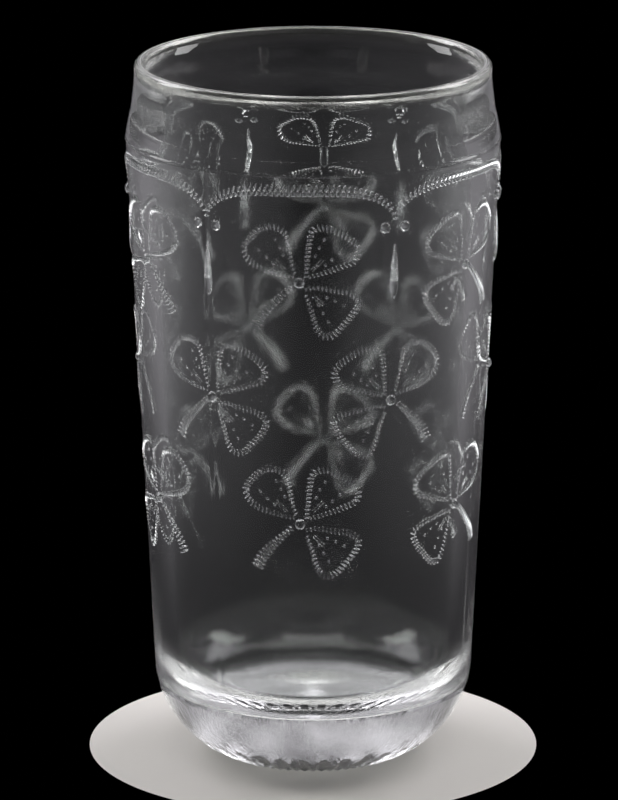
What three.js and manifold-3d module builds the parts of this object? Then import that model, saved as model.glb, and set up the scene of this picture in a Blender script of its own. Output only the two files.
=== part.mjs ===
// Pressed-glass tumbler with a garland, beads and clover sprigs in relief.
// Millimetres, +Z up. The origin is the centre of the foot, and -Y is the front.
import * as THREE from 'three';
import { mergeVertices } from 'three/addons/utils/BufferGeometryUtils.js';
import Module from 'manifold-3d';

const wasm = await Module();
wasm.setup();

// Heights
const BOTTOM_THICKNESS = 14;
const HEEL_HEIGHT = 19;
const PARTING_HEIGHT = 125;
const COLLAR_HEIGHT = 12;
const RIM_HEIGHT = 3;

// Outer radii
const FOOT_RADIUS = 18.9;
const HEEL_RADIUS = 31.7;
const SHOULDER_RADIUS = 36.7;
const RIM_DRAW_IN = 1.7;

// Walls
const HEEL_WALL = 4.6;
const SHOULDER_WALL = 5.4;
const LIP_THICKNESS = 2;
const CORNER_RADIUS = 7.5;

// The hairline left where the collar ring of the mould met its body
const PARTING_LINE_PROUD = 0.15;
const PARTING_LINE_HEIGHT = 0.4;
const COLLAR_HOLLOW = 0.6;

// Underside, hollowed a little inside the foot ring and pressed with a star of grooves
const FOOT_RING_WIDTH = 1.6;
const UNDERSIDE_HOLLOW = 1.2;
const STAR_RAYS = 36;
const STAR_RAY_DEPTH = 0.65;
const STAR_RAY_WIDTH = 2;
const STAR_RAY_DROP = 0.1;
const STAR_CENTRE_RADIUS = 2;
const STAR_REACH = 1.2;

// Relief: how many arches go round, the gap behind every raised piece, and how far the
// garland and the sprigs are turned from the front, in degrees
const ARCHES = 6;
const SEAT_GAP = 0.2;
const GARLAND_TURN = -2.3;
const SPRIG_TURN = -4.3;

// Garland, a ribbed rope in flattened arches that meet in cusps
const GARLAND_BELOW_PARTING = 2.8;
const GARLAND_SAG = 6.2;
const GARLAND_WIDTH = 2.5;
const GARLAND_END_WIDTH = 0.7;
const GARLAND_PROUD = 0.6;
const GARLAND_RIB_PITCH = 2.1;
const CUSP_GAP = 0.3;

// Two beads and a spear-shaped drop under each cusp
const BEAD_RADIUS = 1.05;
const BEAD_PROUD = 0.8;
const BEAD_SPACING = 4.2;
const BEAD_BELOW_CUSP = 1.7;
const DROP_BELOW_CUSP = 5.1;
const DROP_LENGTH = 10.7;
const DROP_WIDTH = 1.8;
const DROP_PROUD = 0.65;
const DROP_WIDEST = 0.68;
const DROP_TIP = 0.1;

// Clover sprigs in three rows, the middle row under the cusps
const SPRIG_ROWS = ['high', 'middle', 'low'];
const FIRST_ROW_DEPTH = 21;
const SPRIG_ROW_PITCH = 24.3;
const BOSS_RADIUS = 1.05;
const BOSS_PROUD = 0.9;
const ROOT_OVERLAP = 0.45;
const LEAF_DIRECTIONS = [51.5, 128, -41.5];
const LEAF_LENGTH = 12.4;
const LEAF_WIDTH = 10.2;
const LEAF_RIDGES = 8;
const LEAF_BAND = 1.9;
const LEAF_ROOT_BAND = 0.65;
const LEAF_ROOT_SPREAD = 0.5;
const LEAF_SWELL = 4;
const LEAF_PROUD = 0.5;
const STEM_REACH = 8.6;
const STEM_FALL = 9.8;
const STEM_RIDGES = 4;
const STEM_WIDTH = 2.8;
const STEM_TOP_WIDTH = 1.1;
const STEM_PROUD = 0.55;

// Between two ridges the relief keeps this share of a ridge's width and height.
const VALLEY = 0.6;

// Facets
const ROUND_SIDES = 54;
const HEEL_STEPS = 6;
const CORNER_STEPS = 4;
const COLLAR_STEPS = 3;
const LIP_STEPS = 3;
const DOME_SIDES = 7;
const DOME_STEPS = 2;
const DROP_STEPS = 5;

const rimBase = PARTING_HEIGHT + COLLAR_HEIGHT;
const height = rimBase + RIM_HEIGHT;
const lipRadius = LIP_THICKNESS / 2;
const rimRadius = SHOULDER_RADIUS - RIM_DRAW_IN;
const shoulderBore = SHOULDER_RADIUS - SHOULDER_WALL;
const heelBore = HEEL_RADIUS - HEEL_WALL;
const rimBore = rimRadius - LIP_THICKNESS;
const footRingBore = FOOT_RADIUS - FOOT_RING_WIDTH;
const archAngle = (2 * Math.PI) / ARCHES;

// Turns the star so that no groove runs along an edge between two facets
const starTurn = Math.PI / ROUND_SIDES / 2;

// The heel is an arc that meets the ground at a slant and runs upright into the wall.
const heelRun = HEEL_RADIUS - FOOT_RADIUS;
const heelArcRadius = (heelRun ** 2 + HEEL_HEIGHT ** 2) / (2 * heelRun);
const heelArcCentre = HEEL_RADIUS - heelArcRadius;
const heelArcSweep = Math.asin(HEEL_HEIGHT / heelArcRadius);

function outerRadius(z) {
  if (z < HEEL_HEIGHT) {
    return heelArcCentre + Math.sqrt(heelArcRadius ** 2 - (HEEL_HEIGHT - z) ** 2);
  }
  const rise = (z - HEEL_HEIGHT) / (PARTING_HEIGHT - HEEL_HEIGHT);
  return THREE.MathUtils.lerp(HEEL_RADIUS, SHOULDER_RADIUS, rise);
}

const boreTaper = (shoulderBore - heelBore) / (PARTING_HEIGHT - HEEL_HEIGHT);

function boreRadius(z) {
  return heelBore + boreTaper * (z - HEEL_HEIGHT);
}

// Points of the outside from one height up to another, with the heel's arc in steps
function outerProfile(low, high) {
  const points = [new THREE.Vector2(outerRadius(low), low)];
  for (let step = 1; step <= HEEL_STEPS; step += 1) {
    const angle = heelArcSweep * (1 - step / HEEL_STEPS);
    const z = HEEL_HEIGHT - heelArcRadius * Math.sin(angle);
    if (z > low && z < high) {
      points.push(new THREE.Vector2(outerRadius(z), z));
    }
  }
  points.push(new THREE.Vector2(outerRadius(high), high));
  return points;
}

// Turns a profile about the glass's axis: x is the radius and y the height.
function turned(points, sides) {
  const geometry = new THREE.LatheGeometry(points, sides);
  geometry.rotateX(Math.PI / 2);
  return geometry;
}

function closedRing(points) {
  return turned([...points, points[0].clone()], ROUND_SIDES);
}

function toSolid(geometry) {
  const bare = new THREE.BufferGeometry();
  bare.setAttribute('position', geometry.getAttribute('position'));
  bare.setIndex(geometry.getIndex());
  const merged = mergeVertices(bare, 1e-4);
  const corners = merged.getIndex().array;
  const faces = [];
  for (let i = 0; i < corners.length; i += 3) {
    const [a, b, c] = [corners[i], corners[i + 1], corners[i + 2]];
    if (a !== b && b !== c && c !== a) {
      faces.push(a, b, c);
    }
  }
  const mesh = new wasm.Mesh({
    numProp: 3,
    vertProperties: new Float32Array(merged.getAttribute('position').array),
    triVerts: new Uint32Array(faces),
  });
  return new wasm.Manifold(mesh);
}

function toGeometry(solid) {
  const mesh = solid.getMesh();
  const geometry = new THREE.BufferGeometry();
  geometry.setAttribute('position', new THREE.BufferAttribute(mesh.vertProperties, 3));
  geometry.setIndex(new THREE.BufferAttribute(mesh.triVerts, 1));
  return geometry;
}

// Shades of the clear glass, the fire-polished lip and the sparkling relief
const CLEAR = 0xdfe3e1;
const LIP = 0xd5d8cc;
const SPARKLE = 0xf0f2f4;

const glass = new THREE.Group();

function addGlass(name, geometry, shade) {
  geometry.computeVertexNormals();
  const material = new THREE.MeshStandardMaterial({ color: shade, roughness: 0.04, metalness: 0 });
  const mesh = new THREE.Mesh(geometry, material);
  mesh.name = name;
  glass.add(mesh);
}

// One groove of the star: a slim pyramid, narrow at the centre, that runs out past the foot.
// Its axis lies a little below the underside, so only its upper faces cut into the glass.
function starRay(index) {
  const length = FOOT_RADIUS + STAR_REACH - STAR_CENTRE_RADIUS;
  const ray = new THREE.ConeGeometry(1, length, 4);
  ray.scale(STAR_RAY_WIDTH / 2, 1, STAR_RAY_DEPTH);
  ray.rotateZ(Math.PI);
  ray.translate(0, STAR_CENTRE_RADIUS + length / 2, 0);
  ray.rotateX(-Math.atan2(UNDERSIDE_HOLLOW, footRingBore));
  ray.translate(0, 0, UNDERSIDE_HOLLOW - STAR_RAY_DROP);
  ray.rotateZ((index * 2 * Math.PI) / STAR_RAYS + starTurn);
  return toSolid(ray);
}

// Base: a thick disc of glass with the lower part of the heel round it
function baseGeometry() {
  const profile = [
    new THREE.Vector2(0, UNDERSIDE_HOLLOW),
    new THREE.Vector2(footRingBore, 0),
    ...outerProfile(0, BOTTOM_THICKNESS),
    new THREE.Vector2(0, BOTTOM_THICKNESS),
  ];
  let base = toSolid(turned(profile, ROUND_SIDES));
  for (let index = 0; index < STAR_RAYS; index += 1) {
    base = base.subtract(starRay(index));
  }
  return toGeometry(base);
}

// Barrel: the decorated wall, with the rounded inside corner that rises from the floor
function barrelGeometry() {
  const slant = Math.atan(boreTaper);
  const cornerHeight = BOTTOM_THICKNESS + CORNER_RADIUS;
  const cornerCentre = boreRadius(cornerHeight) - CORNER_RADIUS / Math.cos(slant);
  const corner = [];
  for (let step = 0; step <= CORNER_STEPS; step += 1) {
    const angle = THREE.MathUtils.lerp(-slant, -Math.PI / 2, step / CORNER_STEPS);
    const r = cornerCentre + CORNER_RADIUS * Math.cos(angle);
    const z = cornerHeight + CORNER_RADIUS * Math.sin(angle);
    corner.push(new THREE.Vector2(r, z));
  }
  const lineBase = PARTING_HEIGHT - PARTING_LINE_HEIGHT;
  return closedRing([
    ...outerProfile(BOTTOM_THICKNESS, lineBase),
    new THREE.Vector2(SHOULDER_RADIUS + PARTING_LINE_PROUD, PARTING_HEIGHT),
    new THREE.Vector2(shoulderBore, PARTING_HEIGHT),
    ...corner,
  ]);
}

// Collar: the plain band above the parting line, drawn in towards the rim
function collarGeometry() {
  const start = new THREE.Vector2(SHOULDER_RADIUS, PARTING_HEIGHT + PARTING_LINE_HEIGHT);
  const end = new THREE.Vector2(rimRadius, rimBase);
  const middle = start.clone().lerp(end, 0.5);
  middle.x -= COLLAR_HOLLOW;
  const side = new THREE.QuadraticBezierCurve(start, middle, end).getPoints(COLLAR_STEPS);
  return closedRing([
    new THREE.Vector2(SHOULDER_RADIUS + PARTING_LINE_PROUD, PARTING_HEIGHT),
    ...side,
    new THREE.Vector2(rimBore, rimBase),
    new THREE.Vector2(shoulderBore, PARTING_HEIGHT),
  ]);
}

// Rim: the fire-polished lip, fully rounded
function rimGeometry() {
  const lip = new THREE.Path();
  lip.absarc(rimRadius - lipRadius, height - lipRadius, lipRadius, 0, Math.PI, false);
  return closedRing([
    new THREE.Vector2(rimRadius, rimBase),
    ...lip.getPoints(LIP_STEPS),
    new THREE.Vector2(rimBore, rimBase),
  ]);
}

addGlass('base', baseGeometry(), CLEAR);
addGlass('barrel', barrelGeometry(), CLEAR);
addGlass('collar', collarGeometry(), CLEAR);
addGlass('rim', rimGeometry(), LIP);

// Relief is drawn flat, x round the glass, y up and z outwards, and then bent onto the wall.
function bentOntoWall(geometry, angle, z) {
  const bent = geometry.clone();
  const position = bent.getAttribute('position');
  const seatRadius = outerRadius(z);
  for (let i = 0; i < position.count; i += 1) {
    const turn = angle + position.getX(i) / seatRadius;
    const rise = z + position.getY(i);
    const radius = outerRadius(rise) + SEAT_GAP + position.getZ(i);
    position.setXYZ(i, radius * Math.sin(turn), -radius * Math.cos(turn), rise);
  }
  return bent;
}

// Lofts a three-cornered ridge through stations, each with a centre, a side direction,
// a width and a height, and closes both ends.
function ridgeLoft(stations) {
  const positions = [];
  for (const { centre, side, width, proud } of stations) {
    const half = side.clone().multiplyScalar(width / 2);
    positions.push(centre.x - half.x, centre.y - half.y, 0);
    positions.push(centre.x + half.x, centre.y + half.y, 0);
    positions.push(centre.x, centre.y, proud);
  }
  const last = 3 * (stations.length - 1);
  const faces = [0, 2, 1, last, last + 1, last + 2];
  for (let here = 0; here < last; here += 3) {
    const next = here + 3;
    for (let corner = 0; corner < 3; corner += 1) {
      const other = (corner + 1) % 3;
      faces.push(here + corner, here + other, next + corner);
      faces.push(here + other, next + other, next + corner);
    }
  }
  const geometry = new THREE.BufferGeometry();
  geometry.setAttribute('position', new THREE.Float32BufferAttribute(positions, 3));
  geometry.setIndex(faces);
  return geometry;
}

// Stations at equal steps along a curve, each sized by its share of the way along
function stationsAlong(curve, steps, sizeAt) {
  const stations = [];
  for (let step = 0; step <= steps; step += 1) {
    const share = step / steps;
    const tangent = curve.getTangentAt(share);
    stations.push({
      centre: curve.getPointAt(share),
      side: new THREE.Vector2(-tangent.y, tangent.x),
      ...sizeAt(share, step),
    });
  }
  return stations;
}

// Valleys and ridges by turns, on a band of changing width
function ribbed(widthAt, proud) {
  return (share, step) => {
    const size = step % 2 === 1 ? 1 : VALLEY;
    return { width: widthAt(share) * size, proud: proud * size };
  };
}

// A low rounded boss or bead on a round foot
function dome(radius, proud) {
  const profile = [new THREE.Vector2(0, 0)];
  for (let step = 0; step < DOME_STEPS; step += 1) {
    const angle = (step * Math.PI) / 2 / DOME_STEPS;
    profile.push(new THREE.Vector2(radius * Math.cos(angle), proud * Math.sin(angle)));
  }
  profile.push(new THREE.Vector2(0, proud));
  return turned(profile, DOME_SIDES);
}

// One arch of the garland: flat over the middle and falling steeply to its two cusps
class ArchCurve extends THREE.Curve {
  constructor(span, sag) {
    super();
    this.span = span;
    this.sag = sag;
  }

  getPoint(share, target = new THREE.Vector2()) {
    const across = 2 * share - 1;
    const rise = (1 - Math.abs(across) ** 4) ** 0.625;
    return target.set((this.span * across) / 2, this.sag * (rise - 1));
  }
}

const archHeight = PARTING_HEIGHT - GARLAND_BELOW_PARTING;
const cuspHeight = archHeight - GARLAND_SAG;

function garlandGeometry() {
  const arch = new ArchCurve(archAngle * outerRadius(archHeight) - CUSP_GAP, GARLAND_SAG);
  const ribs = Math.round(arch.getLength() / GARLAND_RIB_PITCH);
  const { lerp } = THREE.MathUtils;
  const widthAt = (share) => lerp(GARLAND_WIDTH, GARLAND_END_WIDTH, Math.abs(2 * share - 1) ** 3);
  return ridgeLoft(stationsAlong(arch, 2 * ribs, ribbed(widthAt, GARLAND_PROUD)));
}

// Drop: a slim spear that hangs point down, widest two thirds of the way along
function dropGeometry() {
  const line = new THREE.LineCurve(new THREE.Vector2(0, 0), new THREE.Vector2(0, -DROP_LENGTH));
  const sizeAt = (share) => {
    const swell = share < DROP_WIDEST
      ? Math.sin((Math.PI / 2) * (share / DROP_WIDEST))
      : Math.cos((Math.PI / 2) * ((share - DROP_WIDEST) / (1 - DROP_WIDEST)));
    const size = Math.max(swell, DROP_TIP);
    return { width: DROP_WIDTH * size, proud: DROP_PROUD * size };
  };
  return ridgeLoft(stationsAlong(line, DROP_STEPS, sizeAt));
}

const garland = garlandGeometry();
const bead = toGeometry(toSolid(dome(BEAD_RADIUS, BEAD_PROUD)));
const drop = dropGeometry();
const garlandTurn = THREE.MathUtils.degToRad(GARLAND_TURN);

for (let arch = 0; arch < ARCHES; arch += 1) {
  const middle = garlandTurn + arch * archAngle;
  const cusp = middle + archAngle / 2;
  const beadHeight = cuspHeight - BEAD_BELOW_CUSP;
  const beadTurn = BEAD_SPACING / 2 / outerRadius(beadHeight);
  addGlass(`garland_${arch + 1}`, bentOntoWall(garland, middle, archHeight), SPARKLE);
  addGlass(`bead_${2 * arch + 1}`, bentOntoWall(bead, cusp - beadTurn, beadHeight), SPARKLE);
  addGlass(`bead_${2 * arch + 2}`, bentOntoWall(bead, cusp + beadTurn, beadHeight), SPARKLE);
  addGlass(`drop_${arch + 1}`, bentOntoWall(drop, cusp, cuspHeight - DROP_BELOW_CUSP), SPARKLE);
}

// Outline of a leaf that points along +x: it opens from the boss to two round lobes,
// and the edge between the lobes is nearly straight. Both ends lie inside the boss.
function leafOutline() {
  const at = (along, across) => [along * LEAF_LENGTH, (across * LEAF_WIDTH) / 2];
  const root = BOSS_RADIUS - ROOT_OVERLAP;
  const outline = new THREE.Path();
  outline.moveTo(root, LEAF_ROOT_SPREAD / 2);
  outline.bezierCurveTo(...at(0.4, 0.22), ...at(0.56, 0.72), ...at(0.7, 0.93));
  outline.bezierCurveTo(...at(0.82, 1.1), ...at(0.97, 1.05), ...at(1, 0.62));
  outline.bezierCurveTo(...at(1.01, 0.3), ...at(0.98, 0.1), ...at(0.98, 0));
  outline.bezierCurveTo(...at(0.98, -0.1), ...at(1.01, -0.3), ...at(1, -0.62));
  outline.bezierCurveTo(...at(0.97, -1.05), ...at(0.82, -1.1), ...at(0.7, -0.93));
  outline.bezierCurveTo(...at(0.56, -0.72), ...at(0.4, -0.22), root, -LEAF_ROOT_SPREAD / 2);
  return outline;
}

function leafSolid(direction) {
  const swell = (share) => Math.min(1, LEAF_SWELL * Math.min(share, 1 - share));
  const widthAt = (share) => THREE.MathUtils.lerp(LEAF_ROOT_BAND, LEAF_BAND, swell(share));
  const stations = stationsAlong(leafOutline(), 2 * LEAF_RIDGES, ribbed(widthAt, LEAF_PROUD));
  return toSolid(ridgeLoft(stations).rotateZ(THREE.MathUtils.degToRad(direction)));
}

// Stem: leaves the boss to the lower left and bends down, wider towards its foot
function stemSolid() {
  const stem = new THREE.QuadraticBezierCurve(
    new THREE.Vector2(0, 0),
    new THREE.Vector2(-0.72 * STEM_REACH, -0.47 * STEM_FALL),
    new THREE.Vector2(-STEM_REACH, -STEM_FALL),
  );
  const widthAt = (share) => THREE.MathUtils.lerp(STEM_TOP_WIDTH, STEM_WIDTH, share);
  return toSolid(ridgeLoft(stationsAlong(stem, 2 * STEM_RIDGES, ribbed(widthAt, STEM_PROUD))));
}

// Sprig: three leaves and a stem that grow out of one boss, which is turned by half a side
// so that no leaf or stem runs along one of its edges. Its mirror image has the stem to the
// right, and the two kinds follow each other round every row.
const boss = dome(BOSS_RADIUS, BOSS_PROUD).rotateZ(Math.PI / DOME_SIDES);
let sprig = toSolid(boss).add(stemSolid());
for (const direction of LEAF_DIRECTIONS) {
  sprig = sprig.add(leafSolid(direction));
}
const leftSprig = toGeometry(sprig);
const rightSprig = toGeometry(sprig.mirror([1, 0, 0]));
const sprigTurn = THREE.MathUtils.degToRad(SPRIG_TURN);

SPRIG_ROWS.forEach((row, order) => {
  const z = PARTING_HEIGHT - FIRST_ROW_DEPTH - order * SPRIG_ROW_PITCH;
  const shift = order % 2 === 1 ? -archAngle / 2 : 0;
  for (let arch = 0; arch < ARCHES; arch += 1) {
    const shape = arch % 2 === 0 ? leftSprig : rightSprig;
    const turn = sprigTurn + arch * archAngle + shift;
    addGlass(`sprig_${row}_${arch + 1}`, bentOntoWall(shape, turn, z), SPARKLE);
  }
});

export default glass;
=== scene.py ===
"""A pressed-glass tumbler with a garland, beads and clover sprigs in relief.

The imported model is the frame. The clear body of the glass is made here as one continuous
vessel, as it is in the real tumbler, and each raised ornament is a piece of its own, seated
a hair's breadth into the wall that carries it. Lengths are millimetres in the classes of the
glass and metres in those of the studio.
"""

import logging
import math
from dataclasses import dataclass, field
from enum import Enum
from typing import Any

import bmesh
import bpy
from bmesh.types import BMesh
from bpy.types import Material, Mesh, Node, Object
from bpy.types import NodeSocket as Socket
from bpy.types import NodeTree as Tree
from mathutils import Matrix, Vector
from mathutils.geometry import interpolate_bezier


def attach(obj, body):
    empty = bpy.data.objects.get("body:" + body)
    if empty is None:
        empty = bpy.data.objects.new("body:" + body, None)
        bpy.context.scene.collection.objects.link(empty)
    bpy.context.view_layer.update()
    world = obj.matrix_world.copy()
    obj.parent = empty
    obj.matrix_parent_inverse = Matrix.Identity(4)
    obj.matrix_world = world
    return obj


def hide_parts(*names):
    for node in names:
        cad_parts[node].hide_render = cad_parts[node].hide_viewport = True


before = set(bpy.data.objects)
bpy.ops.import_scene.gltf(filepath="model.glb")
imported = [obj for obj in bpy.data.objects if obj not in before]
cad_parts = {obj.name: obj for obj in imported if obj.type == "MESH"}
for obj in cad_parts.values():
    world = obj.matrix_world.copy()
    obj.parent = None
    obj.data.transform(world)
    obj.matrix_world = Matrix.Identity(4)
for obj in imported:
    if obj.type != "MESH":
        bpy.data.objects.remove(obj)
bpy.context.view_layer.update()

MM = 0.001
ARCHES = 6
STAR_RAYS = 72
WELD = 0.001
MOULD_SKIN = "mould_skin"

log = logging.getLogger("tumbler")


def linear(colour: str) -> tuple[float, float, float, float]:
    """Turns an sRGB hex colour into Blender's linear values.

    Args:
        colour: the colour, such as "#dfe3e1".

    Returns:
        Red, green, blue and alpha, each from 0 to 1.
    """
    shares = [int(colour[i : i + 2], 16) / 255 for i in (1, 3, 5)]
    red, green, blue = (c / 12.92 if c <= 0.04045 else ((c + 0.055) / 1.055) ** 2.4 for c in shares)
    return red, green, blue, 1.0


def add_node(tree: Tree, kind: str, inputs: dict[str | int, Any] | None = None, **settings: Any) -> Node:
    """Adds one shader node with its settings, values and links.

    Args:
        tree: the node tree of a material or of the world.
        kind: the node's type, such as "ShaderNodeBump".
        inputs: for each input socket a value, or the output socket that feeds it.
        settings: the node's own properties.

    Returns:
        The new node.
    """
    node = tree.nodes.new(kind)
    for name, value in settings.items():
        setattr(node, name, value)
    for name, value in (inputs or {}).items():
        if isinstance(value, Socket):
            tree.links.new(value, node.inputs[name])
        else:
            node.inputs[name].default_value = value
    return node


def new_material(name: str) -> tuple[Material, Tree]:
    """Starts an empty node material.

    Args:
        name: the material's name.

    Returns:
        The material and its node tree.
    """
    material = bpy.data.materials.new(name)
    material.use_nodes = True
    material.node_tree.nodes.clear()
    return material, material.node_tree


def combine(tree: Tree, operation: str, first: Socket | float, second: Socket | float = 0.0) -> Socket:
    """Adds one calculation with one or two numbers.

    Args:
        tree: the node tree.
        operation: the calculation, such as "ADD".
        first: its first number, or the socket that gives it.
        second: its second number, where it takes two.

    Returns:
        The socket that gives the result.
    """
    return add_node(tree, "ShaderNodeMath", {0: first, 1: second}, operation=operation).outputs[0]


def soft_rise(tree: Tree, value: Socket, span: tuple[float, float], top: float = 1.0) -> Socket:
    """Adds a soft rise from nothing to a top value.

    Args:
        tree: the node tree.
        value: what the rise follows, such as a distance or a part of a direction.
        span: the values at which the rise starts and ends.
        top: what it reaches at its end.

    Returns:
        The socket that gives the result.
    """
    inputs = {"Value": value, "From Min": span[0], "From Max": span[1], "To Max": top}
    rise = add_node(tree, "ShaderNodeMapRange", inputs, interpolation_type="SMOOTHSTEP")
    return rise.outputs["Result"]


def noise(tree: Tree, place: Socket, pitch: float, detail: float = 2.0) -> Socket:
    """Adds an uneven pattern.

    Args:
        tree: the material's node tree.
        place: the place on the glass, in metres.
        pitch: how far apart its swells are.
        detail: how many layers of finer swells it has.

    Returns:
        The socket that gives its height, from 0 to 1.
    """
    scale = 1 / (pitch * MM)
    pattern = add_node(tree, "ShaderNodeTexNoise", {"Vector": place, "Scale": scale, "Detail": detail})
    return pattern.outputs["Fac"]


def bump(
    tree: Tree,
    height: Socket,
    depth: float,
    strength: Socket | float = 1.0,
    under: Socket | None = None,
) -> Socket:
    """Adds one layer of unevenness to a surface.

    Args:
        tree: the material's node tree.
        height: the pattern of the layer.
        depth: how deep it goes.
        strength: how much of it shows, from 0 to 1.
        under: the layer that it lies on, if there is one.

    Returns:
        The socket that gives the way the surface faces.
    """
    inputs = {"Height": height, "Distance": depth * MM, "Strength": strength}
    if under is not None:
        inputs["Normal"] = under
    return add_node(tree, "ShaderNodeBump", inputs).outputs["Normal"]


def glass_surface(
    tree: Tree,
    colour: Socket | tuple[float, float, float, float],
    roughness: Socket | float,
    ior: float,
    normal: Socket,
) -> None:
    """Ends a material's tree with clear glass.

    Args:
        tree: the material's node tree.
        colour: its faint tint.
        roughness: how much it scatters.
        ior: how strongly it bends light.
        normal: the way the surface faces.
    """
    look = {"Base Color": colour, "Roughness": roughness, "IOR": ior, "Normal": normal}
    look["Transmission Weight"] = 1.0
    glass = add_node(tree, "ShaderNodeBsdfPrincipled", look)
    add_node(tree, "ShaderNodeOutputMaterial", {"Surface": glass.outputs[0]})


def hidden_from_camera(tree: Tree, brightness: Socket) -> Socket:
    """Makes a glow black to the camera, so that only the glass picks it up.

    Args:
        tree: the node tree.
        brightness: the socket that gives the glow.

    Returns:
        The socket that gives the brightness to use.
    """
    seen = add_node(tree, "ShaderNodeLightPath").outputs["Is Camera Ray"]
    return combine(tree, "MULTIPLY", brightness, combine(tree, "SUBTRACT", 1.0, seen))


@dataclass(frozen=True)
class PressedGlass:
    """Soda-lime glass pressed in an iron mould, and left as the mould chilled it.

    The chilled skin is glossy but never quite flat: broad ripples bend what is seen through
    the wall, fine upright drag lines run where the plunger drew the glass up, the outside of
    the wall is pitted like peel, and the heel is finely fluted.
    """

    name: str = "pressed soda-lime glass"
    body: str = "#f6f8f6"
    lip: str = "#e9ebdf"
    lip_from: float = 136.5
    lip_to: float = 139.0
    ior: float = 1.52
    polish: float = 0.015
    skin: float = 0.08
    peel_pitch: float = 0.42
    peel_depth: float = 0.014
    ripple_pitch: float = 7.0
    ripple_depth: float = 0.012
    drag_pitch: float = 1.1
    drag_stretch: float = 0.06
    drag_detail: float = 3.0
    drag_depth: float = 0.0015
    flute_pitch: float = 1.0
    flute_radius: float = 30.0
    flute_depth: float = 0.12
    flutes_from: float = 11.0
    flutes_to: float = 15.0

    def material(self) -> Material:
        """Builds the material.

        Returns:
            The material, with its pattern on Object coordinates.
        """
        material, tree = new_material(self.name)
        place = add_node(tree, "ShaderNodeTexCoord").outputs["Object"]
        height = add_node(tree, "ShaderNodeSeparateXYZ", {0: place}).outputs["Z"]
        skin = add_node(tree, "ShaderNodeAttribute", attribute_name=MOULD_SKIN).outputs["Fac"]
        drawn_up = {"Vector": place, "Scale": (1.0, 1.0, self.drag_stretch)}
        upright = add_node(tree, "ShaderNodeMapping", drawn_up).outputs[0]
        level = add_node(tree, "ShaderNodeMapping", {"Vector": place, "Scale": (1.0, 1.0, 0.0)})
        around = add_node(tree, "ShaderNodeVectorMath", {0: level.outputs[0]}, operation="NORMALIZE")
        sweep = {0: around.outputs[0], 1: (self.flute_radius * MM,) * 3, 2: upright}
        meridian = add_node(tree, "ShaderNodeVectorMath", sweep, operation="MULTIPLY_ADD").outputs[0]
        in_heel = soft_rise(tree, height, (self.flutes_to * MM, self.flutes_from * MM))
        near_lip = soft_rise(tree, height, (self.lip_from * MM, self.lip_to * MM))
        rippled = bump(tree, noise(tree, place, self.ripple_pitch), self.ripple_depth)
        drags = noise(tree, upright, self.drag_pitch, self.drag_detail)
        dragged = bump(tree, drags, self.drag_depth, under=rippled)
        peeled = bump(tree, noise(tree, place, self.peel_pitch), self.peel_depth, skin, dragged)
        fluted = bump(tree, noise(tree, meridian, self.flute_pitch), self.flute_depth, in_heel, peeled)
        tints = {"Factor": near_lip, 6: linear(self.body), 7: linear(self.lip)}
        colour = add_node(tree, "ShaderNodeMix", tints, data_type="RGBA")
        finishes = {"Value": skin, "To Min": self.polish, "To Max": self.skin}
        roughness = add_node(tree, "ShaderNodeMapRange", finishes)
        glass_surface(tree, colour.outputs[2], roughness.outputs["Result"], self.ior, fluted)
        return material


@dataclass(frozen=True)
class PunchedGlass:
    """The same glass where the mould was cut with punches: sharp, bright and a little grainy.

    The punched hollows of the mould weren't polished, so the raised marks scatter a little.
    """

    name: str = "pressed glass in relief"
    colour: str = "#fbfcfc"
    ior: float = 1.52
    roughness: float = 0.03
    grain: float = 0.25
    grain_depth: float = 0.004

    def material(self) -> Material:
        """Builds the material.

        Returns:
            The material, with its grain on Object coordinates.
        """
        material, tree = new_material(self.name)
        place = add_node(tree, "ShaderNodeTexCoord").outputs["Object"]
        grained = bump(tree, noise(tree, place, self.grain), self.grain_depth)
        glass_surface(tree, linear(self.colour), self.roughness, self.ior, grained)
        return material


@dataclass(frozen=True)
class Pressing:
    """The tapered, round wall: the outside of the glass by height."""

    heel_height: float = 19.0
    parting_height: float = 125.0
    foot_radius: float = 18.9
    heel_radius: float = 31.7
    shoulder_radius: float = 36.7

    @property
    def heel_arc(self) -> float:
        """Radius of the heel's arc, which meets the ground at a slant and ends upright."""
        run = self.heel_radius - self.foot_radius
        return (run**2 + self.heel_height**2) / (2 * run)

    def radius(self, z: float) -> float:
        """Radius of the outside at a height.

        Args:
            z: height above the ground.

        Returns:
            The radius.
        """
        if z < self.heel_height:
            arc = self.heel_arc
            return self.heel_radius - arc + math.sqrt(arc**2 - (self.heel_height - z) ** 2)
        rise = (z - self.heel_height) / (self.parting_height - self.heel_height)
        return self.heel_radius + rise * (self.shoulder_radius - self.heel_radius)


def to_object(name: str, bm: BMesh, material: Material, sharp_deg: float = 40.0) -> Object:
    """Turns a finished bmesh, in millimetres, into a smooth-shaded object at the origin.

    Args:
        name: the object's name.
        bm: the mesh, which is freed.
        material: what it is made of.
        sharp_deg: edges that turn by more than this stay sharp.

    Returns:
        The object, linked to the scene.
    """
    bmesh.ops.scale(bm, vec=(MM, MM, MM), verts=bm.verts)
    for face in bm.faces:
        face.smooth = True
    for edge in bm.edges:
        edge.smooth = edge.calc_face_angle(0.0) < math.radians(sharp_deg)
    mesh = bpy.data.meshes.new(name)
    bm.to_mesh(mesh)
    bm.free()
    mesh.materials.append(material)
    piece = bpy.data.objects.new(name, mesh)
    bpy.context.scene.collection.objects.link(piece)
    return piece


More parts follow.
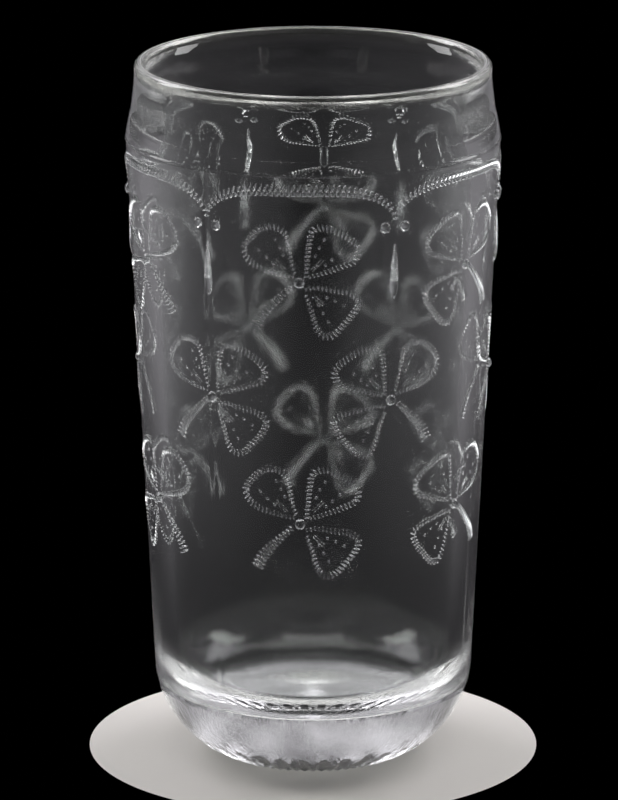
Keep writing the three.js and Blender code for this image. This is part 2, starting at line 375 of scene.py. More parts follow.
@dataclass
class Vessel:
    """The clear body of the glass: thick base, wall, collar and lip in one closed shell.

    The collar and the throat are drawn as pairs of radius and height. Two shares of their own
    are parting_round, the height of the parting line at its shoulders, and oval_width, of an
    oval's pitch. near_relief and near_skin say how close to the outside a point on it lies.
    """

    wall: Pressing
    height: float = 140.0
    rim_radius: float = 35.0
    lip_thickness: float = 2.2
    lip_steps: int = 12
    bottom: float = 13.0
    floor_radii: tuple[float, ...] = (15.0, 10.0, 5.0, 0.0)
    heel_wall: float = 4.6
    shoulder_wall: float = 5.4
    corner_radius: float = 10.0
    corner_steps: int = 14
    parting_proud: float = 0.15
    parting_half: float = 0.4
    parting_crest: float = 0.15
    parting_round: float = 0.8
    collar: tuple[tuple[float, float], ...] = (
        (36.66, 125.4), (36.6, 126.2), (36.45, 127.3), (36.04, 129.3), (35.66, 131.0), (35.42, 133.0),
        (35.17, 135.0), (35.0, 137.0),
    )  # fmt: skip
    throat: tuple[tuple[float, float], ...] = (
        (32.8, 138.6), (32.32, 137.7), (32.08, 136.6), (31.92, 134.6), (31.77, 133.0), (31.6, 131.5),
        (31.45, 130.0), (31.36, 128.5), (31.32, 127.0), (31.3, 125.0),
    )  # fmt: skip
    curve_steps: int = 3
    outer_heights: tuple[float, ...] = (30.0, 50.0, 70.0, 90.0, 110.0)
    inner_heights: tuple[float, ...] = (105.0, 85.0, 65.0, 45.0)
    foot_ring: float = 1.6
    hollow: float = 1.2
    hollow_radii: tuple[float, ...] = (
        0.0, 1.0, 2.0, 3.0, 4.5, 6.0, 7.5, 9.0, 10.5, 12.0, 13.5, 15.0, 16.2,
    )  # fmt: skip
    heel_steps: int = 26
    heel_crowding: float = 1.4
    steps_per_ray: int = 6
    ray_depth: float = 0.28
    ray_start: float = 1.5
    ray_full: float = 12.0
    ray_end: float = 22.6
    ray_fade: float = 2.0
    star_top: float = 5.0
    ovals: int = 36
    oval_depth: float = 0.4
    oval_span: tuple[float, float] = (0.5, 4.2)
    oval_width: float = 0.72
    seams: int = 3
    seam_deg: float = -34.5
    seam_proud: float = 0.07
    seam_columns: float = 1.5
    near_relief: float = 0.5
    near_skin: float = 1.0
    skin_from: float = 18.0
    sharp_deg: float = 25.0

    def bore(self, z: float) -> float:
        """Radius of the inside at a height above the corner.

        Args:
            z: height above the ground.

        Returns:
            The radius.
        """
        heel = self.wall.heel_radius - self.heel_wall
        shoulder = self.wall.shoulder_radius - self.shoulder_wall
        rise = (z - self.wall.heel_height) / (self.wall.parting_height - self.wall.heel_height)
        return heel + rise * (shoulder - heel)

    def underside(self) -> list[tuple[float, float]]:
        """Points of the hollow underside and of the flat foot ring, from the middle out."""
        ring = self.wall.foot_radius - self.foot_ring
        hollow = [(r, self.hollow * (1 - r / ring)) for r in (*self.hollow_radii, ring)]
        return [*hollow, (ring + self.foot_ring / 2, 0.0)]

    def outside(self) -> list[tuple[float, float]]:
        """Points of the heel's arc, the wall, the parting line and the collar, upwards."""
        wall = self.wall
        sweep = math.asin(wall.heel_height / wall.heel_arc)
        heel = []
        for step in range(self.heel_steps + 1):
            angle = sweep * (1 - (step / self.heel_steps) ** self.heel_crowding)
            z = wall.heel_height - wall.heel_arc * math.sin(angle)
            heel.append((wall.radius(z), z))
        straight = [(wall.radius(z), z) for z in self.outer_heights]
        top = wall.parting_height
        below = top - self.parting_half
        shoulder = wall.shoulder_radius + self.parting_round * self.parting_proud
        line = [
            (wall.radius(below), below),
            (shoulder, top - self.parting_crest),
            (wall.shoulder_radius + self.parting_proud, top),
            (shoulder, top + self.parting_crest),
        ]
        return heel + straight + line + [(p.x, p.y) for p in smoothed(self.collar, self.curve_steps)]

    def inside(self) -> list[tuple[float, float]]:
        """Points of the lip, the bore, the rounded corner and the inner floor, downwards."""
        half = self.lip_thickness / 2
        centre = self.rim_radius - half
        lip = []
        for step in range(1, self.lip_steps):
            angle = math.pi * step / self.lip_steps
            lip.append((centre + half * math.cos(angle), self.height - half + half * math.sin(angle)))
        throat = [(p.x, p.y) for p in smoothed(self.throat, self.curve_steps)]
        bore = [(self.bore(z), z) for z in self.inner_heights]
        start = self.bottom + self.corner_radius
        middle = self.bore(start) - self.corner_radius
        corner = []
        for step in range(self.corner_steps + 1):
            angle = math.pi / 2 * step / self.corner_steps
            out = self.corner_radius * math.cos(angle)
            down = self.corner_radius * math.sin(angle)
            corner.append((middle + out, start - down))
        floor = [(r, self.bottom) for r in self.floor_radii]
        return lip + throat + bore + corner + floor

    def ray_share(self, radius: float, turn: float) -> float:
        """How deep the pressed star is at a place, as a share of its full depth.

        Args:
            radius: distance from the axis.
            turn: angle round the axis, in radians.

        Returns:
            From 0, no groove, to 1, the middle of a groove.
        """
        if not self.ray_start < radius < self.ray_end:
            return 0.0
        rise = min(1.0, (radius - self.ray_start) / (self.ray_full - self.ray_start))
        fall = min(1.0, (self.ray_end - radius) / self.ray_fade)
        phase = turn * STAR_RAYS / math.tau
        from_middle = abs(phase - math.floor(phase) - 0.5) * 2
        return rise * math.sqrt(fall) * (1 - from_middle)

    def oval_share(self, z: float, turn: float) -> float:
        """How deep the ring of ovals above the foot is at a place, as a share of its full depth.

        Args:
            z: height above the ground.
            turn: angle round the axis, in radians.

        Returns:
            From 0, between the ovals, to 1, the middle of one.
        """
        low, high = self.oval_span
        up = (2 * z - low - high) / (high - low)
        phase = turn * self.ovals / math.tau
        across = (phase - math.floor(phase) - 0.5) * 2 / self.oval_width
        return math.sqrt(max(0.0, 1 - up**2 - across**2))

    def seam_share(self, turn: float) -> float:
        """How far up the side of a mould seam a place lies, from 0 to 1 on its crest."""
        pitch = math.tau / self.seams
        off = (turn - math.radians(self.seam_deg - 90) + pitch / 2) % pitch - pitch / 2
        half_width = self.seam_columns * math.tau / (STAR_RAYS * self.steps_per_ray)
        return max(0.0, 1 - abs(off) / half_width)

    def pressed_in(self, radius: float, z: float, turn: float) -> float:
        """How deep the mould pressed a place in: the star, the ovals and the raised seams.

        Args:
            radius: distance from the axis.
            z: height above the ground.
            turn: angle round the axis, in radians.

        Returns:
            The depth, below 0 where the place is raised.
        """
        wall = self.wall
        depth = 0.0
        if z < self.star_top and radius < self.ray_end:
            depth = self.ray_depth * self.ray_share(radius, turn)
        if z < wall.parting_height and radius > wall.radius(z) - self.near_relief:
            if z < wall.heel_height:
                depth += self.oval_depth * self.oval_share(z, turn)
            if z > self.oval_span[1]:
                depth -= self.seam_proud * self.seam_share(turn)
        return depth

    def build(self, material: Material) -> Object:
        """Spins the half section round the axis, presses it and marks the skin of the mould.

        Args:
            material: the clear glass.

        Returns:
            The vessel, riding on the frame.
        """
        section = self.underside() + self.outside() + self.inside()
        bm = bmesh.new()
        points = [bm.verts.new((r, 0.0, z)) for r, z in section]
        chain = [bm.edges.new(pair) for pair in zip(points, points[1:])]
        geom = points + chain
        steps = STAR_RAYS * self.steps_per_ray
        bmesh.ops.spin(bm, geom=geom, axis=(0, 0, 1), angle=math.tau, steps=steps, use_merge=True)
        bmesh.ops.remove_doubles(bm, verts=bm.verts, dist=WELD)
        bmesh.ops.recalc_face_normals(bm, faces=bm.faces)
        bm.normal_update()
        for vert in bm.verts:
            turn = math.atan2(vert.co.y, vert.co.x)
            vert.co -= vert.normal * self.pressed_in(vert.co.xy.length, vert.co.z, turn)
        skin = bm.verts.layers.float.new(MOULD_SKIN)
        for vert in bm.verts:
            radius, z = vert.co.xy.length, vert.co.z
            if self.skin_from < z < self.wall.parting_height:
                vert[skin] = float(radius > self.wall.radius(z) - self.near_skin)
        vessel = to_object("vessel", bm, material, self.sharp_deg)
        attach(vessel, "root")
        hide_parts("base", "barrel", "collar", "rim")
        log.info("vessel: %d faces", len(vessel.data.polygons))
        return vessel


def dome_stamp(name: str, sides: int, rings: int) -> Mesh:
    """Makes half a ball of radius 1 with a flat back, for marks that stand out of the wall.

    Args:
        name: the mesh's name.
        sides: facets round it.
        rings: facets from pole to pole of the whole ball.

    Returns:
        The closed half ball, its flat back at z = 0.
    """
    bm = bmesh.new()
    bmesh.ops.create_uvsphere(bm, u_segments=sides, v_segments=rings, radius=1.0)
    bmesh.ops.bisect_plane(
        bm,
        geom=bm.verts[:] + bm.edges[:] + bm.faces[:],
        dist=1e-4,
        plane_no=(0, 0, 1),
        clear_inner=True,
    )
    rim = [edge for edge in bm.edges if edge.is_boundary]
    bmesh.ops.contextual_create(bm, geom=rim)
    bmesh.ops.recalc_face_normals(bm, faces=bm.faces)
    mesh = bpy.data.meshes.new(name)
    bm.to_mesh(mesh)
    bm.free()
    return mesh


class Relief:
    """Raised marks that are drawn flat, x round the glass and y up, and bent onto the wall."""

    SEAT = 0.06

    def __init__(self) -> None:
        """Starts with no marks."""
        self.bm = bmesh.new()

    def mark(
        self,
        stamp: Mesh,
        x: float,
        y: float,
        along: float,
        across: float,
        proud: float,
        heading: float = 0.0,
    ) -> None:
        """Presses one mark.

        Args:
            stamp: its form, of radius 1 with a flat back.
            x: its middle, to the right of the ornament's own origin.
            y: its middle, above that origin.
            along: its length in the direction of heading.
            across: its width.
            proud: how far it stands out of the wall.
            heading: the way it points, in radians from x.
        """
        start = len(self.bm.verts)
        self.bm.from_mesh(stamp)
        self.bm.verts.ensure_lookup_table()
        place = (
            Matrix.Translation((x, y, -self.SEAT))
            @ Matrix.Rotation(heading, 4, "Z")
            @ Matrix.Diagonal((along / 2, across / 2, proud + self.SEAT, 1.0))
        )
        bmesh.ops.transform(self.bm, matrix=place, verts=self.bm.verts[start:])

    def bent(self, wall: Pressing, turn: float, z: float, mirrored: bool = False) -> BMesh:
        """Copies the marks and bends them round the wall.

        Args:
            wall: the wall that carries them.
            turn: where the ornament's origin lies, in radians to the right of the front.
            z: the origin's height.
            mirrored: swaps left and right.

        Returns:
            The marks in their place on the glass.
        """
        bm = self.bm.copy()
        if mirrored:
            bmesh.ops.scale(bm, vec=(-1, 1, 1), verts=bm.verts)
            bmesh.ops.reverse_faces(bm, faces=bm.faces)
        seat = wall.radius(z)
        for vert in bm.verts:
            x, y, out = vert.co
            angle = turn + x / seat
            radius = wall.radius(z + y) + out
            vert.co = (radius * math.sin(angle), -radius * math.cos(angle), z + y)
        return bm


def walk(points: list[Vector], pitch: float) -> tuple[float, list[tuple[Vector, float, float]]]:
    """Walks along a chain of points in equal steps.

    Args:
        points: the chain.
        pitch: about how long a step is.

    Returns:
        How long a step really is, and for each stop its place, the direction of travel in
        radians, and its share of the whole way.
    """
    lengths = [0.0]
    for here, there in zip(points, points[1:]):
        lengths.append(lengths[-1] + (there - here).length)
    steps = round(lengths[-1] / pitch)
    stops = []
    leg = 0
    for step in range(steps + 1):
        goal = lengths[-1] * step / steps
        while leg < len(points) - 2 and lengths[leg + 1] < goal:
            leg += 1
        run = points[leg + 1] - points[leg]
        past = (goal - lengths[leg]) / (lengths[leg + 1] - lengths[leg])
        stops.append((points[leg] + run * past, math.atan2(run.y, run.x), step / steps))
    return lengths[-1] / steps, stops


def smoothed(corners: list[tuple[float, float]], steps: int = 8) -> list[Vector]:
    """Draws a smooth curve through a few points.

    Args:
        corners: the points.
        steps: how many short straight runs to use between two points.

    Returns:
        The points of the curve.
    """
    knots = [Vector(c) for c in corners]
    padded = [2 * knots[0] - knots[1], *knots, 2 * knots[-1] - knots[-2]]
    curve = []
    for before, here, there, after in zip(padded, padded[1:], padded[2:], padded[3:]):
        pull_out = here + (there - before) / 6
        pull_in = there - (after - here) / 6
        curve += interpolate_bezier(here, pull_out, pull_in, there, steps)[:-1]
    return [*curve, knots[-1]]


class Hand(Enum):
    """Which way a sprig's stem bends."""

    LEFT = "left"
    RIGHT = "right"


@dataclass
class Leaf:
    """One leaf of the clover: a rim of short punch marks, six seeds and a double vein.

    The outline is drawn from the boss round the leaf and back, in millimetres from the boss.
    The marks swell from the leaf's root to its lobes. Their width is a share of their pitch,
    and at the root they have a share of their full height.
    """

    outline: list[tuple[float, float]]
    seeds: list[tuple[float, float]]
    vein_deg: float
    vein: tuple[float, float] = (3.4, 6.6)
    vein_gap: float = 0.5
    vein_width: float = 0.2
    vein_proud: float = 0.12
    pitch: float = 0.8
    root_mark: float = 0.9
    lobe_mark: float = 1.6
    swell_rate: float = 3.2
    slant_deg: float = 14.0
    mark_width: float = 0.5
    mark_proud: float = 0.3
    root_height: float = 0.65
    seed_size: float = 0.62
    seed_proud: float = 0.22

    def press(self, relief: Relief, ridge: Mesh, seed: Mesh) -> None:
        """Adds the leaf to a relief.

        Args:
            relief: the sprig it belongs to.
            ridge: form of one mark of the rim.
            seed: form of one seed.
        """
        stride, stops = walk(smoothed(self.outline), self.pitch)
        for spot, heading, share in stops:
            swell = min(1.0, self.swell_rate * min(share, 1 - share))
            reach = self.root_mark + swell * (self.lobe_mark - self.root_mark)
            lean = heading + math.pi / 2 + math.radians(self.slant_deg)
            width = self.mark_width * stride
            proud = self.mark_proud * (self.root_height + (1 - self.root_height) * swell)
            relief.mark(ridge, spot.x, spot.y, reach, width, proud, lean)
        for x, y in self.seeds:
            relief.mark(seed, x, y, self.seed_size, self.seed_size, self.seed_proud)
        angle = math.radians(self.vein_deg)
        middle = sum(self.vein) / 2
        run = self.vein[1] - self.vein[0]
        for side in (-0.5, 0.5):
            offset = side * self.vein_gap
            x = middle * math.cos(angle) - offset * math.sin(angle)
            y = middle * math.sin(angle) + offset * math.cos(angle)
            relief.mark(ridge, x, y, run, self.vein_width, self.vein_proud, angle)


def clover_leaves() -> list[Leaf]:
    """The three leaves of a sprig whose stem bends to the left.

    Returns:
        The upper right, upper left and lower right leaf.
    """
    upper_right = Leaf(
        outline=[
            (1.3, 1.3), (1.5, 3.9), (1.8, 7.0), (2.4, 10.0), (4.3, 11.0), (7.0, 10.2), (9.5, 8.7),
            (11.2, 6.9), (10.9, 4.5), (8.4, 3.3), (5.3, 2.2), (2.0, 1.2),
        ],
        seeds=[(4.8, 8.6), (3.8, 7.0), (3.1, 5.4), (7.7, 5.9), (6.2, 4.6), (5.0, 3.6)],
        vein_deg=46.0,
    )  # fmt: skip
    upper_left = Leaf(
        outline=[
            (-1.2, 1.3), (-3.6, 1.7), (-6.7, 2.5), (-9.6, 3.9), (-10.8, 6.2), (-9.6, 8.4),
            (-7.2, 10.6), (-4.8, 11.0), (-2.9, 10.0), (-2.1, 7.3), (-1.6, 4.6), (-0.9, 2.0),
        ],
        seeds=[(-4.6, 8.6), (-3.7, 7.0), (-3.0, 5.5), (-7.8, 6.3), (-6.3, 4.9), (-5.0, 3.8)],
        vein_deg=136.0,
    )  # fmt: skip
    lower_right = Leaf(
        outline=[
            (1.3, -1.2), (3.5, -0.9), (6.4, -1.5), (9.6, -2.1), (11.5, -3.7), (10.8, -5.9),
            (8.9, -8.2), (6.8, -10.3), (4.6, -10.5), (3.2, -8.7), (2.5, -6.1), (1.3, -2.6),
        ],
        seeds=[(5.3, -2.9), (6.9, -3.6), (8.6, -4.6), (3.7, -4.3), (4.6, -6.0), (5.6, -7.7)],
        vein_deg=-43.0,
    )  # fmt: skip
    return [upper_right, upper_left, lower_right]


@dataclass
class Clover:
    """A sprig of clover: three leaves and a ribbed stem round one glossy boss."""

    boss: float = 2.1
    boss_proud: float = 0.8
    leaves: list[Leaf] = field(default_factory=clover_leaves)
    stem: list[tuple[float, float]] = field(
        default_factory=lambda: [
            (-1.7, -1.0), (-3.0, -2.2), (-4.6, -3.8), (-6.2, -5.4), (-7.6, -7.1), (-8.5, -9.0),
        ]
    )  # fmt: skip
    stem_pitch: float = 0.85
    stem_width: float = 0.65
    stem_top: float = 1.3
    stem_foot: float = 2.9
    stem_proud: float = 0.36

    def draw(self) -> Relief:
        """Presses the whole sprig, flat.

        Returns:
            The relief, with the stem to the left.
        """
        ridge = dome_stamp("punch mark", sides=8, rings=6)
        ball = dome_stamp("seed mark", sides=8, rings=6)
        pearl = dome_stamp("boss mark", sides=20, rings=14)
        relief = Relief()
        relief.mark(pearl, 0.0, 0.0, self.boss, self.boss, self.boss_proud)
        for leaf in self.leaves:
            leaf.press(relief, ridge, ball)
        stride, stops = walk(smoothed(self.stem), self.stem_pitch)
        for spot, heading, share in stops:
            reach = self.stem_top + (self.stem_foot - self.stem_top) * share
            width = self.stem_width * stride
            relief.mark(ridge, spot.x, spot.y, reach, width, self.stem_proud, heading + math.pi / 2)
        return relief


@dataclass
class CloverRows:
    """Three rows of sprigs, six to a row, with stems to the left and right by turns."""

    wall: Pressing
    clover: Clover = field(default_factory=Clover)
    rows: tuple[str, ...] = ("high", "middle", "low")
    top: float = 104.0
    pitch: float = 24.3
    turn_deg: float = -4.3

    def build(self, material: Material) -> list[Object]:
        """Sets every sprig on the wall.

        Args:
            material: the glass of the relief.

        Returns:
            The 18 sprigs, riding on the frame.
        """
        relief = self.clover.draw()
        pieces = []
        for order, row in enumerate(self.rows):
            shift = -math.pi / ARCHES if order % 2 else 0.0
            for place in range(ARCHES):
                hand = Hand.LEFT if place % 2 == 0 else Hand.RIGHT
                turn = math.radians(self.turn_deg) + place * math.tau / ARCHES + shift
                z = self.top - order * self.pitch
                bm = relief.bent(self.wall, turn, z, mirrored=hand is Hand.RIGHT)
                piece = to_object(f"clover_{row}_{place + 1}", bm, material)
                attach(piece, "root")
                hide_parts(f"sprig_{row}_{place + 1}")
                pieces.append(piece)
        log.info("clover sprigs: %d of %d faces", len(pieces), len(pieces[0].data.polygons))
        return pieces


@dataclass
class Garland:
    """A twisted rope in six flattened arches, with two beads and a drop under each cusp.

    The lengths and widths of pearls and strands, and how far they lie from the rope's middle
    line, are shares of the rope's width or pitch. Those of a drop are shares of its length.
    """

    wall: Pressing
    turn_deg: float = -4.3
    top: float = 122.2
    sag: float = 6.2
    cusp_gap: float = 0.3
    arch_half_steps: int = 60
    arch_power: int = 4
    arch_round: float = 0.625
    width: float = 2.5
    end_width: float = 0.8
    end_power: int = 3
    proud: float = 0.45
    pitch: float = 1.08
    twist_deg: float = 62.0
    pearl_below: float = 0.27
    pearl_size: float = 0.46
    pearl_most: float = 0.95
    pearl_proud: float = 0.85
    strand_above: float = 0.2
    strand_length: float = 0.66
    strand_width: float = 0.5
    bead: float = 2.1
    bead_proud: float = 0.8
    bead_spacing: float = 4.2
    bead_below_cusp: float = 1.7
    drop_below_cusp: float = 5.1
    drop_length: float = 10.7
    drop_width: float = 1.8
    drop_proud: float = 0.65
    drop_middle: float = 0.72
    drop_body: float = 0.56
    drop_widest: float = 0.68
    drop_hatch: float = 0.42
    hatch_length: float = 1.2
    hatch_start: float = 0.15

    def arch(self) -> list[Vector]:
        """Points of one arch's middle line, from cusp to cusp."""
        span = math.tau / ARCHES * self.wall.radius(self.top) - self.cusp_gap
        points = []
        for step in range(2 * self.arch_half_steps + 1):
            across = step / self.arch_half_steps - 1
            rise = (1 - abs(across) ** self.arch_power) ** self.arch_round
            points.append(Vector((span * across / 2, self.sag * (rise - 1))))
        return points

    def draw_rope(self) -> Relief:
        """Presses one arch: a row of pearls below and slanted strands above.

        Returns:
            The relief, flat, with the top of the arch at its origin.
        """
        strand = dome_stamp("strand mark", sides=10, rings=6)
        relief = Relief()
        _, stops = walk(self.arch(), self.pitch)
        for spot, heading, share in stops:
            ends = abs(2 * share - 1) ** self.end_power
            width = self.width + (self.end_width - self.width) * ends
            up = Vector((-math.sin(heading), math.cos(heading)))
            loop = spot + up * self.strand_above * width
            reach = self.strand_length * width
            lean = heading + math.radians(self.twist_deg)
            relief.mark(strand, loop.x, loop.y, reach, self.strand_width * self.pitch, self.proud, lean)
            pearl = spot - up * self.pearl_below * width
            size = min(self.pearl_most * self.pitch, self.pearl_size * width)
            relief.mark(strand, pearl.x, pearl.y, size, size, self.pearl_proud * self.proud)
        return relief

    def draw_bead(self) -> Relief:
        """Presses one round bead."""
        relief = Relief()
        stamp = dome_stamp("bead mark", sides=24, rings=16)
        relief.mark(stamp, 0.0, 0.0, self.bead, self.bead, self.bead_proud)
        return relief

    def draw_drop(self) -> Relief:
        """Presses one drop, which hangs point down from its origin.

        Returns:
            The relief, hatched across its upper two thirds.
        """
        stamp = dome_stamp("drop mark", sides=16, rings=10)
        relief = Relief()
        middle = -self.drop_length * self.drop_middle
        body = self.drop_length * self.drop_body
        relief.mark(stamp, 0.0, middle, body, self.drop_width, self.drop_proud, -math.pi / 2)
        hatched = self.drop_widest * self.drop_length
        hatches = round(hatched / self.drop_hatch)
        for hatch in range(hatches):
            share = (hatch + 0.5) / hatches
            swell = math.sin(math.pi / 2 * (self.hatch_start + (1 - self.hatch_start) * share))
            across = self.drop_width * swell
            tall = self.hatch_length * self.drop_hatch
            relief.mark(stamp, 0.0, -share * hatched, across, tall, self.drop_proud * swell)
        return relief

    def build(self, material: Material) -> list[Object]:
        """Sets the arches, the beads and the drops on the wall.

        Args:
            material: the glass of the relief.

        Returns:
            The pieces, riding on the frame.
        """
        rope, bead, drop = self.draw_rope(), self.draw_bead(), self.draw_drop()
        cusp_height = self.top - self.sag
        bead_height = cusp_height - self.bead_below_cusp
        bead_turn = self.bead_spacing / 2 / self.wall.radius(bead_height)
        plan = []
        for place in range(ARCHES):
            middle = math.radians(self.turn_deg) + place * math.tau / ARCHES
            cusp = middle + math.pi / ARCHES
            plan.append((f"rope_{place + 1}", f"garland_{place + 1}", rope, middle, self.top))
            for side, turn in enumerate((cusp - bead_turn, cusp + bead_turn)):
                number = 2 * place + side + 1
                plan.append((f"pearl_{number}", f"bead_{number}", bead, turn, bead_height))
            drop_height = cusp_height - self.drop_below_cusp
            plan.append((f"dewdrop_{place + 1}", f"drop_{place + 1}", drop, cusp, drop_height))
        pieces = []
        for name, node, relief, turn, z in plan:
            piece = to_object(name, relief.bent(self.wall, turn, z), material)
            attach(piece, "root")
            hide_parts(node)
            pieces.append(piece)
        log.info("garland: %d pieces", len(pieces))
        return pieces


@dataclass(frozen=True)
class Softbox:
    """A soft rectangular lamp that faces the middle of the glass."""

    name: str
    place: tuple[float, float, float]
    size: tuple[float, float]
    watts: float
    aim: tuple[float, float, float] = (0.0, 0.0, 0.07)

    def hang(self) -> None:
        """Hangs the lamp in its place."""
        data = bpy.data.lights.new(self.name, "AREA")
        data.shape = "RECTANGLE"
        data.size, data.size_y = self.size
        data.energy = self.watts
        lamp = bpy.data.objects.new(self.name, data)
        lamp.location = self.place
        way = Vector(self.aim) - Vector(self.place)
        lamp.rotation_euler = way.to_track_quat("-Z", "Y").to_euler()
        bpy.context.scene.collection.objects.link(lamp)


@dataclass(frozen=True)
class DarkRoom:
    """A room that is black to the camera and gives the glass something to pick up.

    Each glow is given by its brightness and by the spans in which it rises. A span is a part
    of the direction looked in, from -1 to 1: across to either side, back or front, and up.
    """

    air: str = "#f6f2fa"
    dimmest: float = 0.022
    side_glow: float = 0.11
    side_across: tuple[float, float] = (0.25, 0.9)
    front_glow: float = 0.05
    front_near: tuple[float, float] = (0.10, 0.80)
    rear_glow: float = 0.85
    rear_back: tuple[float, float] = (0.20, 0.75)
    rear_up: tuple[float, float] = (0.02, 0.30)
    rear_end: tuple[float, float] = (0.40, 0.50)
    patch_scale: float = 12.0
    patch_stretch: tuple[float, float, float] = (1.0, 0.1, 0.5)
    patch_slant_deg: float = 35.0
    patch_detail: float = 3.0
    patch_edge: tuple[float, float] = (0.40, 0.56)
    window_glow: float = 4.2
    window_up: tuple[float, float] = (0.38, 0.55)
    window_back: tuple[float, float] = (0.20, 0.45)
    window_across: tuple[float, float] = (0.25, 0.45)

    def patches(self, tree: Tree, way: Socket) -> Socket:
        """Adds slanting patches, so that the glow behind the glass isn't even.

        Args:
            tree: the world's node tree.
            way: the direction looked in.

        Returns:
            The socket that gives 0 between the patches and 1 in them.
        """
        slant = (0.0, math.radians(self.patch_slant_deg), 0.0)
        turned = {"Vector": way, "Rotation": slant, "Scale": self.patch_stretch}
        place = add_node(tree, "ShaderNodeMapping", turned).outputs[0]
        cloudy = {"Vector": place, "Scale": self.patch_scale, "Detail": self.patch_detail}
        cloud = add_node(tree, "ShaderNodeTexNoise", cloudy).outputs["Fac"]
        return soft_rise(tree, cloud, self.patch_edge)

    def light(self) -> None:
        """Lights the room: a soft glow on every side, uneven behind, and a high window there.

        Straight behind the glass it stays dark grey, and the window is at the sides of that.
        """
        world = bpy.data.worlds.new("dark room")
        bpy.context.scene.world = world
        world.use_nodes = True
        tree = world.node_tree
        tree.nodes.clear()
        way = add_node(tree, "ShaderNodeTexCoord").outputs["Generated"]
        parts = add_node(tree, "ShaderNodeSeparateXYZ", {0: way}).outputs
        across = combine(tree, "ABSOLUTE", parts["X"])
        sides = soft_rise(tree, across, self.side_across, self.side_glow)
        front = combine(tree, "MULTIPLY", parts["Y"], -1.0)
        fill = soft_rise(tree, front, self.front_near, self.front_glow)
        rear = soft_rise(tree, parts["Y"], self.rear_back, self.rear_glow)
        up = soft_rise(tree, parts["Z"], self.rear_up)
        over = soft_rise(tree, parts["Z"], self.rear_end)
        band = combine(tree, "MULTIPLY", rear, combine(tree, "SUBTRACT", up, over))
        behind = combine(tree, "MULTIPLY", band, self.patches(tree, way))
        high = soft_rise(tree, parts["Z"], self.window_up, self.window_glow)
        beyond = soft_rise(tree, parts["Y"], self.window_back)
        aside = soft_rise(tree, across, self.window_across)
        window = combine(tree, "MULTIPLY", high, combine(tree, "MULTIPLY", beyond, aside))
        total = sides
        for part in (behind, window, fill, self.dimmest):
            total = combine(tree, "ADD", total, part)
        strength = hidden_from_camera(tree, total)
        air = add_node(tree, "ShaderNodeBackground", {"Color": linear(self.air), "Strength": strength})
        add_node(tree, "ShaderNodeOutputWorld", {"Surface": air.outputs[0]})


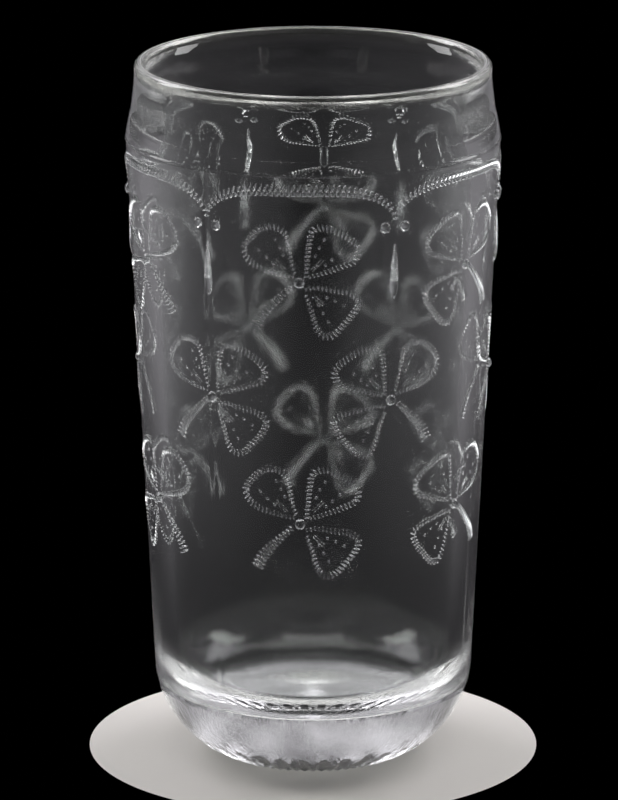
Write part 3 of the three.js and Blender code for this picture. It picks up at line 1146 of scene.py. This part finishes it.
@dataclass
class Studio:
    """A pale round table that shows the glass a glow of painted light, on a bench that only glows with
    painted light, in a dark room, three softboxes and the camera.
    """

    room: DarkRoom = field(default_factory=DarkRoom)
    table_radius: float = 0.045
    table_drop: float = 0.00002
    table_colour: str = "#dedbd5"
    table_roughness: float = 0.9
    table_edge: tuple[float, float] = (0.021, 0.028)
    # painted shade: the table's glow fades out towards the front, where the glass shades the table
    table_shade: tuple[float, float] = (0.009, 0.014)
    # brightness of the glow of painted light that the glass picks up from the table
    table_glow: float = 0.66
    # painted caustics: faint streaks of light through the star, painted into the table's glow
    painted_caustic_edge: tuple[float, float] = (-0.6, 0.9)
    painted_caustic_share: float = 0.45
    bench_radius: float = 0.9
    bench_drop: float = 0.001
    # the bench's painted light: how it brightens towards both sides, and how much it dims far behind
    bench_across: tuple[float, float] = (0.05, 0.30)
    bench_glow: float = 0.2
    bench_far: tuple[float, float] = (0.30, 0.55)
    bench_loss: float = 0.012
    softboxes: tuple[Softbox, ...] = (
        Softbox("left softbox", (-0.60, 0.20, 0.45), (0.22, 0.50), 1.7),
        Softbox("right softbox", (0.60, 0.20, 0.45), (0.22, 0.50), 1.7),
        Softbox("overhead softbox", (0.0, 0.10, 0.75), (0.60, 0.50), 2.2),
    )
    light_turns: int = 40
    camera_height: float = 0.3636
    camera_distance: float = 1.0833
    camera_side: float = -0.0008
    camera_pitch_deg: float = 15.10
    camera_clip: tuple[float, float] = (0.01, 20.0)
    sensor: float = 36.0
    lens: float = 254.5

    def camera(self) -> None:
        """Sets the camera where the photograph was taken from."""
        data = bpy.data.cameras.new("camera")
        data.sensor_width = self.sensor
        data.lens = self.lens
        data.clip_start, data.clip_end = self.camera_clip
        camera = bpy.data.objects.new("camera", data)
        camera.location = (self.camera_side, -self.camera_distance, self.camera_height)
        camera.rotation_euler = (math.radians(90 - self.camera_pitch_deg), 0.0, 0.0)
        bpy.context.scene.collection.objects.link(camera)
        bpy.context.scene.camera = camera

    def disc(self, radius: float, drop: float, sides: int) -> BMesh:
        """Makes a flat disc to stand the glass on.

        Args:
            radius: its radius.
            drop: how far it lies below the glass.
            sides: corners round it.

        Returns:
            The mesh, in millimetres.
        """
        bm = bmesh.new()
        below = Matrix.Translation((0, 0, -drop / MM))
        bmesh.ops.create_circle(bm, cap_ends=True, segments=sides, radius=radius / MM, matrix=below)
        return bm

    def table_light(self, tree: Tree) -> Socket:
        """Adds what the glass picks up from the table under it: a glow of painted light, not light that
        falls on the table.

        It fades towards the table's edge, painted shade darkens its front, and it has faint painted
        streaks of the light that has come through the star under the glass.

        Args:
            tree: the table's node tree.

        Returns:
            The socket that gives the brightness.
        """
        place = add_node(tree, "ShaderNodeTexCoord").outputs["Object"]
        parts = add_node(tree, "ShaderNodeSeparateXYZ", {0: place}).outputs
        from_axis = add_node(tree, "ShaderNodeVectorMath", {0: place}, operation="LENGTH")
        outer = soft_rise(tree, from_axis.outputs["Value"], self.table_edge, self.table_glow)
        # painted shade over the front of the table's glow
        nearer = combine(tree, "MULTIPLY", parts["Y"], -1.0)
        shade = soft_rise(tree, nearer, self.table_shade, self.table_glow)
        lost = combine(tree, "MAXIMUM", outer, shade)
        pale = combine(tree, "SUBTRACT", self.table_glow + self.room.dimmest, lost)
        # painted caustic streaks, one for each ray of the star
        turn = combine(tree, "ARCTAN2", parts["Y"], parts["X"])
        wave = combine(tree, "COSINE", combine(tree, "MULTIPLY", turn, float(STAR_RAYS)))
        gaps = soft_rise(tree, wave, self.painted_caustic_edge, self.painted_caustic_share)
        return combine(tree, "MULTIPLY", pale, combine(tree, "SUBTRACT", 1.0, gaps))

    def table(self) -> None:
        """Makes the plain pale floor, a matt painted disc under the glass. Rays that come through the
        glass see a glow of painted light and shade on it instead of the paint.
        """
        bm = self.disc(self.table_radius, self.table_drop, sides=128)
        material, tree = new_material("matt table with painted glow")
        matt = {"Base Color": linear(self.table_colour), "Roughness": self.table_roughness}
        paint = add_node(tree, "ShaderNodeBsdfPrincipled", matt)
        glow = {"Color": linear(self.room.air), "Strength": self.table_light(tree)}
        painted_table_glow = add_node(tree, "ShaderNodeEmission", glow)
        # rays that come through the glass see the painted glow, all other rays see the matt paint
        through = add_node(tree, "ShaderNodeLightPath").outputs["Is Transmission Ray"]
        faces = {0: through, 1: paint.outputs[0], 2: painted_table_glow.outputs[0]}
        top = add_node(tree, "ShaderNodeMixShader", faces)
        add_node(tree, "ShaderNodeOutputMaterial", {"Surface": top.outputs[0]})
        to_object("table", bm, material)

    def bench(self) -> None:
        """Makes the bench round the table: a sheet that only glows with painted light, dim in a runner
        from front to back and brighter on both sides.

        The camera sees it black, and only the glass picks it up.
        """
        bm = self.disc(self.bench_radius, self.bench_drop, sides=64)
        material, tree = new_material("bench of painted light")
        place = add_node(tree, "ShaderNodeTexCoord").outputs["Object"]
        parts = add_node(tree, "ShaderNodeSeparateXYZ", {0: place}).outputs
        aside = combine(tree, "ABSOLUTE", parts["X"])
        # painted light on the bench, brighter on either side of a dim runner
        glow = soft_rise(tree, aside, self.bench_across, self.bench_glow)
        lit = combine(tree, "ADD", glow, self.room.dimmest)
        far = soft_rise(tree, parts["Y"], self.bench_far, self.bench_loss)
        strength = hidden_from_camera(tree, combine(tree, "SUBTRACT", lit, far))
        look = {"Color": linear(self.room.air), "Strength": strength}
        painted_bench_glow = add_node(tree, "ShaderNodeEmission", look)
        add_node(tree, "ShaderNodeOutputMaterial", {"Surface": painted_bench_glow.outputs[0]})
        to_object("bench", bm, material)

    def build(self) -> None:
        """Sets up the camera, the table, the room and the lamps."""
        self.camera()
        self.table()
        self.bench()
        self.room.light()
        for softbox in self.softboxes:
            softbox.hang()
        scene = bpy.context.scene
        scene.cycles.max_bounces = self.light_turns
        scene.cycles.transmission_bounces = self.light_turns
        scene.cycles.glossy_bounces = self.light_turns
        scene.view_settings.view_transform = "Standard"


def main() -> None:
    """Builds the studio, the vessel and its ornament, and reports the frame, the vessel and the
    ornament.
    """
    logging.basicConfig(level=logging.INFO, format="%(message)s")
    log.info("the frame has %d nodes", len(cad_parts))
    Studio().build()
    wall = Pressing()
    clear = PressedGlass().material()
    raised = PunchedGlass().material()
    Vessel(wall).build(clear)
    Garland(wall).build(raised)
    CloverRows(wall).build(raised)


if __name__ == "__main__":
    main()
